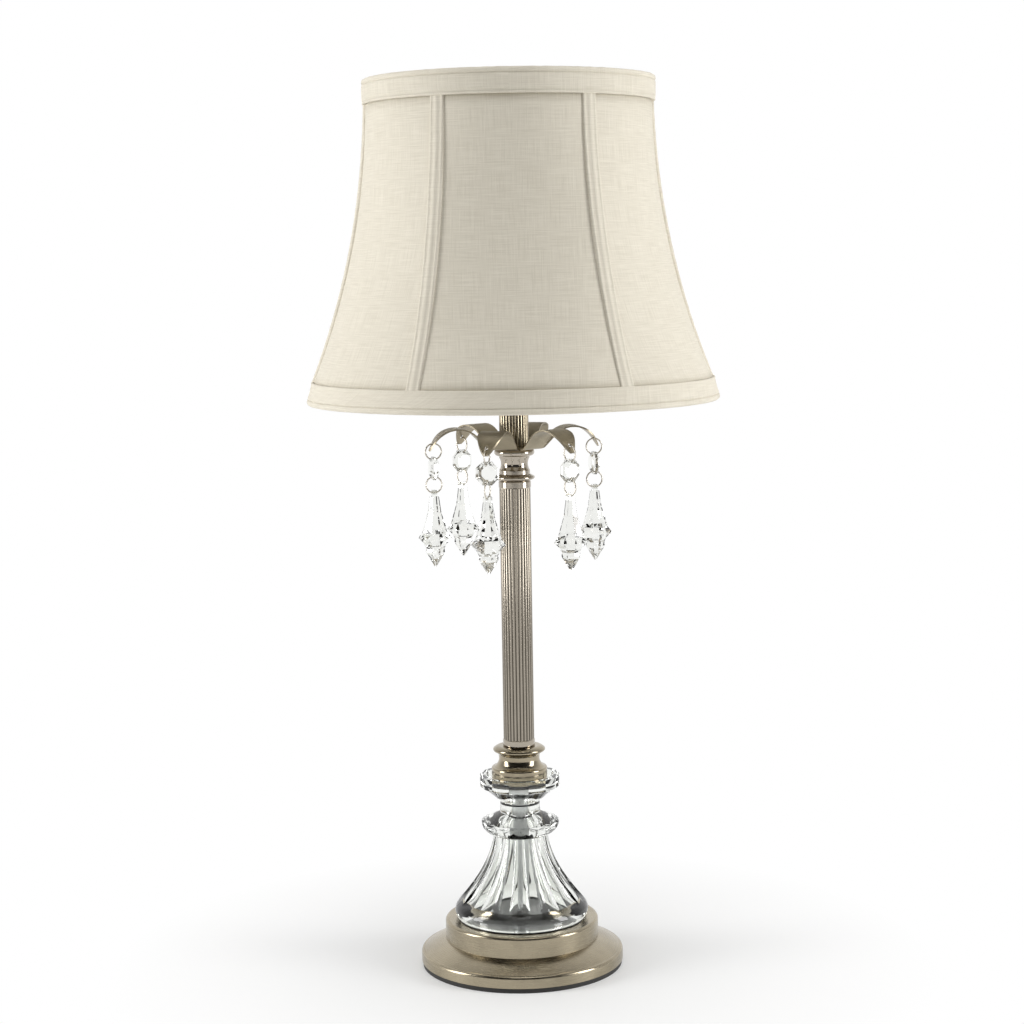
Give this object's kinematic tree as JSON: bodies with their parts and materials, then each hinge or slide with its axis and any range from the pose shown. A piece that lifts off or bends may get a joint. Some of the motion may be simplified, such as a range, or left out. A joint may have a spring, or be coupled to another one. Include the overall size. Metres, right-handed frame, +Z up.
{
  "type": "candlestick table lamp",
  "caption": "Table lamp with a stepped metal base, fluted glass bell, reeded column, leaf spray with hanging crystals and a bell-shaped linen shade",
  "frame": {"origin": "on the table, on the axis of the column", "axes": "+Z up along the column, -Y towards the viewer of the picture, +X to the viewer's right"},
  "size_m": [0.2518, 0.2518, 0.547],
  "materials": {
    "antique_nickel": "brushed warm antique nickel",
    "polished_nickel": "polished warm nickel",
    "black_pad": "matt black foam rubber",
    "cast_weight": "bare casting",
    "zinc_steel": "zinc plated",
    "black_plastic": "moulded, fine matt",
    "clear_gasket": "clear washer",
    "clear_glass": "pressed, fire polished",
    "nickel_cap": "satin",
    "ceramic_core": "unglazed white",
    "brass": "drawn",
    "bulb_cap_metal": "rolled thread",
    "frosted_glass": "frosted",
    "white_wire": "white enamel",
    "linen": "off-white linen weave",
    "lining": "smooth white lining",
    "link_wire": "polished wire",
    "crystal": "cut and polished"
  },
  "bodies": {
    "base": {"base_shell": "antique_nickel", "coupling": "antique_nickel", "leaf_spray": "antique_nickel", "column_foot_ring": "polished_nickel", "column_tube": "polished_nickel", "column_top_ring": "polished_nickel", "capital": "polished_nickel", "neck_sleeve": "polished_nickel", "spray_nut": "polished_nickel", "base_pad": "black_pad", "base_weight": "cast_weight", "base_washer": "zinc_steel", "base_nut": "zinc_steel", "threaded_rod": "zinc_steel", "holder_terminals": "zinc_steel", "cord_inlet": "black_plastic", "holder_skirt": "black_plastic", "seat_ring": "black_plastic", "bell_gasket": "clear_gasket", "dish_gasket": "clear_gasket", "glass_bell": "clear_glass", "glass_dish": "clear_glass", "holder_cap": "nickel_cap", "holder_core": "ceramic_core", "holder_contact": "brass", "screw_shell": "brass"},
    "switch_key": {"switch_key": "black_plastic"},
    "clamp_ring": {"clamp_ring": "black_plastic"},
    "shade": {"shade_fitter": "white_wire", "shade_top_ring": "white_wire", "shade_bottom_ring": "white_wire", "shade_ribs": "white_wire", "shade_panels": "linen", "shade_seams": "linen", "shade_top_band": "linen", "shade_bottom_band": "linen", "shade_lining": "lining"},
    "bulb": {"bulb_cap": "bulb_cap_metal", "bulb_contact": "brass", "bulb_glass": "frosted_glass"},
    "drop_1_link": {"drop_1_upper_link": "link_wire"},
    "drop_1_bead": {"drop_1_bead": "crystal", "drop_1_lower_link": "link_wire"},
    "drop_1_pendant": {"drop_1_pendant": "crystal"},
    "drop_2_link": {"drop_2_upper_link": "link_wire"},
    "drop_2_bead": {"drop_2_bead": "crystal", "drop_2_lower_link": "link_wire"},
    "drop_2_pendant": {"drop_2_pendant": "crystal"},
    "drop_3_link": {"drop_3_upper_link": "link_wire"},
    "drop_3_bead": {"drop_3_bead": "crystal", "drop_3_lower_link": "link_wire"},
    "drop_3_pendant": {"drop_3_pendant": "crystal"},
    "drop_4_link": {"drop_4_upper_link": "link_wire"},
    "drop_4_bead": {"drop_4_bead": "crystal", "drop_4_lower_link": "link_wire"},
    "drop_4_pendant": {"drop_4_pendant": "crystal"},
    "drop_5_link": {"drop_5_upper_link": "link_wire"},
    "drop_5_bead": {"drop_5_bead": "crystal", "drop_5_lower_link": "link_wire"},
    "drop_5_pendant": {"drop_5_pendant": "crystal"}
  },
  "joints": [
    {"name": "switch_turn", "type": "hinge", "parent": "base", "child": "switch_key", "pos_m": [0.0186, 0, 0.3732], "axis": [1, 0, 0], "continuous": true},
    {"name": "shade_lift", "type": "slide", "parent": "base", "child": "clamp_ring", "axis": [0, 0, 1], "range_m": [0, 0.165]},
    {"name": "shade_turn", "type": "hinge", "parent": "clamp_ring", "child": "shade", "pos_m": [0, 0, 0.393], "axis": [0, 0, 1], "continuous": true},
    {"name": "bulb_lift", "type": "slide", "parent": "base", "child": "bulb", "axis": [0, 0, 1], "range_m": [0, 0.16]},
    {"name": "drop_1_swing", "type": "hinge", "parent": "base", "child": "drop_1_link", "pos_m": [-0.04928, -0.00958, 0.32831], "axis": [-0.1908, 0.9816, 0], "range_deg": [-10, 20]},
    {"name": "drop_1_bead_swing", "type": "hinge", "parent": "drop_1_link", "child": "drop_1_bead", "pos_m": [-0.04928, -0.00958, 0.32341], "axis": [-0.1908, 0.9816, 0], "range_deg": [-10, 20]},
    {"name": "drop_1_pendant_swing", "type": "hinge", "parent": "drop_1_bead", "child": "drop_1_pendant", "pos_m": [-0.04928, -0.00958, 0.30311], "axis": [-0.1908, 0.9816, 0], "range_deg": [-12, 25]},
    {"name": "drop_2_swing", "type": "hinge", "parent": "base", "child": "drop_2_link", "pos_m": [-0.03293, 0.03789, 0.32831], "axis": [0.7547, 0.6561, 0], "range_deg": [-10, 20]},
    {"name": "drop_2_bead_swing", "type": "hinge", "parent": "drop_2_link", "child": "drop_2_bead", "pos_m": [-0.03293, 0.03789, 0.32341], "axis": [0.7547, 0.6561, 0], "range_deg": [-10, 20]},
    {"name": "drop_2_pendant_swing", "type": "hinge", "parent": "drop_2_bead", "child": "drop_2_pendant", "pos_m": [-0.03293, 0.03789, 0.30311], "axis": [0.7547, 0.6561, 0], "range_deg": [-12, 25]},
    {"name": "drop_3_swing", "type": "hinge", "parent": "base", "child": "drop_3_link", "pos_m": [-0.01634, -0.04747, 0.32831], "axis": [-0.9455, 0.3256, 0], "range_deg": [-10, 20]},
    {"name": "drop_3_bead_swing", "type": "hinge", "parent": "drop_3_link", "child": "drop_3_bead", "pos_m": [-0.01634, -0.04747, 0.32341], "axis": [-0.9455, 0.3256, 0], "range_deg": [-10, 20]},
    {"name": "drop_3_pendant_swing", "type": "hinge", "parent": "drop_3_bead", "child": "drop_3_pendant", "pos_m": [-0.01634, -0.04747, 0.30311], "axis": [-0.9455, 0.3256, 0], "range_deg": [-12, 25]},
    {"name": "drop_4_swing", "type": "hinge", "parent": "base", "child": "drop_4_link", "pos_m": [0.03293, -0.03789, 0.32831], "axis": [-0.7547, -0.6561, 0], "range_deg": [-10, 20]},
    {"name": "drop_4_bead_swing", "type": "hinge", "parent": "drop_4_link", "child": "drop_4_bead", "pos_m": [0.03293, -0.03789, 0.32341], "axis": [-0.7547, -0.6561, 0], "range_deg": [-10, 20]},
    {"name": "drop_4_pendant_swing", "type": "hinge", "parent": "drop_4_bead", "child": "drop_4_pendant", "pos_m": [0.03293, -0.03789, 0.30311], "axis": [-0.7547, -0.6561, 0], "range_deg": [-12, 25]},
    {"name": "drop_5_swing", "type": "hinge", "parent": "base", "child": "drop_5_link", "pos_m": [0.04928, 0.00958, 0.32831], "axis": [0.1908, -0.9816, 0], "range_deg": [-10, 20]},
    {"name": "drop_5_bead_swing", "type": "hinge", "parent": "drop_5_link", "child": "drop_5_bead", "pos_m": [0.04928, 0.00958, 0.32341], "axis": [0.1908, -0.9816, 0], "range_deg": [-10, 20]},
    {"name": "drop_5_pendant_swing", "type": "hinge", "parent": "drop_5_bead", "child": "drop_5_pendant", "pos_m": [0.04928, 0.00958, 0.30311], "axis": [0.1908, -0.9816, 0], "range_deg": [-12, 25]}
  ]
}
